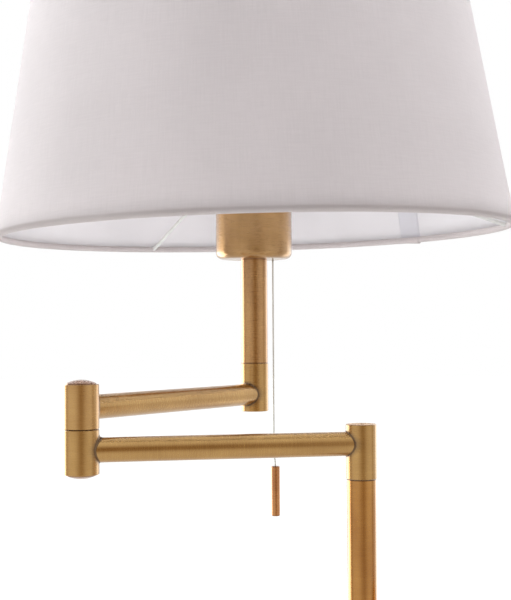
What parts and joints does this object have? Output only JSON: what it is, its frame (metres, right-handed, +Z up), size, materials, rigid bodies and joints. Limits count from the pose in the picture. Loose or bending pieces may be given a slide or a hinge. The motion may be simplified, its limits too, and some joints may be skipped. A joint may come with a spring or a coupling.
{
  "type": "swing arm wall sconce",
  "caption": "Wall lamp on a hinged swing arm: brass wall bracket and post, folding tube arms with an elbow pivot, a pull switch lampholder in a cup and a tapered cloth shade.",
  "frame": {"origin": "on the wall plane, behind the middle of the canopy and of the mounting strap", "axes": "+Z up, +Y into the wall, so the room is towards -Y; +X is to the right of someone who stands in the room and faces the wall"},
  "size_m": [0.3839, 0.3965, 0.6104],
  "materials": {
    "satin_brass": "brushed and lacquered",
    "old_brass": "darkened, fine turned",
    "steel": "zinc plated",
    "green_screw": "green coated",
    "nylon": "natural nylon",
    "lead_sheath": "sheathed flexible lead",
    "porcelain": "glazed ceramic",
    "bakelite": "moulded, half gloss",
    "white_wire": "white coated steel wire",
    "shade_liner": "smooth white film",
    "shade_cloth": "fine plain weave",
    "pull_cord": "fine braided cord"
  },
  "bodies": {
    "wall_bracket": {"mounting_strap": "steel", "ground_screw": "green_screw", "terminal_block": "nylon", "canopy": "satin_brass", "canopy_studs": "steel", "cap_nuts": "satin_brass", "canopy_collar": "satin_brass", "canopy_nipple": "steel", "canopy_nut": "steel", "wall_tube_plug": "satin_brass", "wall_tube": "satin_brass", "bracket_knuckle": "satin_brass", "bracket_grub_screw": "steel", "post_foot_plug": "satin_brass", "post": "satin_brass", "post_pivot": "satin_brass", "thrust_washer": "nylon", "lead_in_bracket": "lead_sheath"},
    "lower_arm": {"swing_knuckle": "satin_brass", "swing_grub_screw": "steel", "lower_arm": "satin_brass", "elbow_lower_barrel": "satin_brass", "elbow_lower_cap": "satin_brass", "elbow_pivot": "steel", "elbow_lower_nut": "steel", "elbow_upper_nut": "steel", "friction_washer": "nylon", "spring_washer": "steel", "stop_pin": "steel", "lead_in_lower_arm": "lead_sheath"},
    "upper_arm": {"elbow_upper_barrel": "satin_brass", "elbow_upper_cap": "satin_brass", "upper_arm": "satin_brass", "stem_knuckle": "satin_brass", "stem_grub_screw": "steel", "stem_foot_plug": "satin_brass", "stem": "satin_brass", "stem_top_plug": "satin_brass", "cup_nipple": "steel", "socket_cup": "satin_brass", "pull_bush": "nylon", "switch_body": "bakelite", "return_spring": "steel", "lampholder_skirt": "bakelite", "socket_insulator": "porcelain", "screw_shell": "satin_brass", "centre_contact": "satin_brass", "lower_ring_nut": "bakelite", "upper_ring_nut": "bakelite", "fitter_ring": "white_wire", "spider_arms": "white_wire", "bottom_ring": "white_wire", "top_ring": "white_wire", "shade_liner": "shade_liner", "shade_cloth": "shade_cloth", "lead_in_upper_arm": "lead_sheath"},
    "pull_switch": {"switch_plunger": "steel", "pull_cord": "pull_cord", "pull_bob": "old_brass"}
  },
  "joints": [
    {"name": "post_swivel", "type": "hinge", "parent": "wall_bracket", "child": "lower_arm", "pos_m": [0, -0.135, 0.1485], "axis": [0, 0, 1], "range_deg": [-101, 79]},
    {"name": "elbow_swivel", "type": "hinge", "parent": "lower_arm", "child": "upper_arm", "pos_m": [0.03492, -0.31464, 0.1851], "axis": [0, 0, 1], "range_deg": [-22.5, 297.5]},
    {"name": "pull_switch_slide", "type": "slide", "parent": "upper_arm", "child": "pull_switch", "axis": [0, 0, -1], "range_m": [0, 0.008], "stiffness_N_per_m": 400, "springref_m": -0.004}
  ]
}
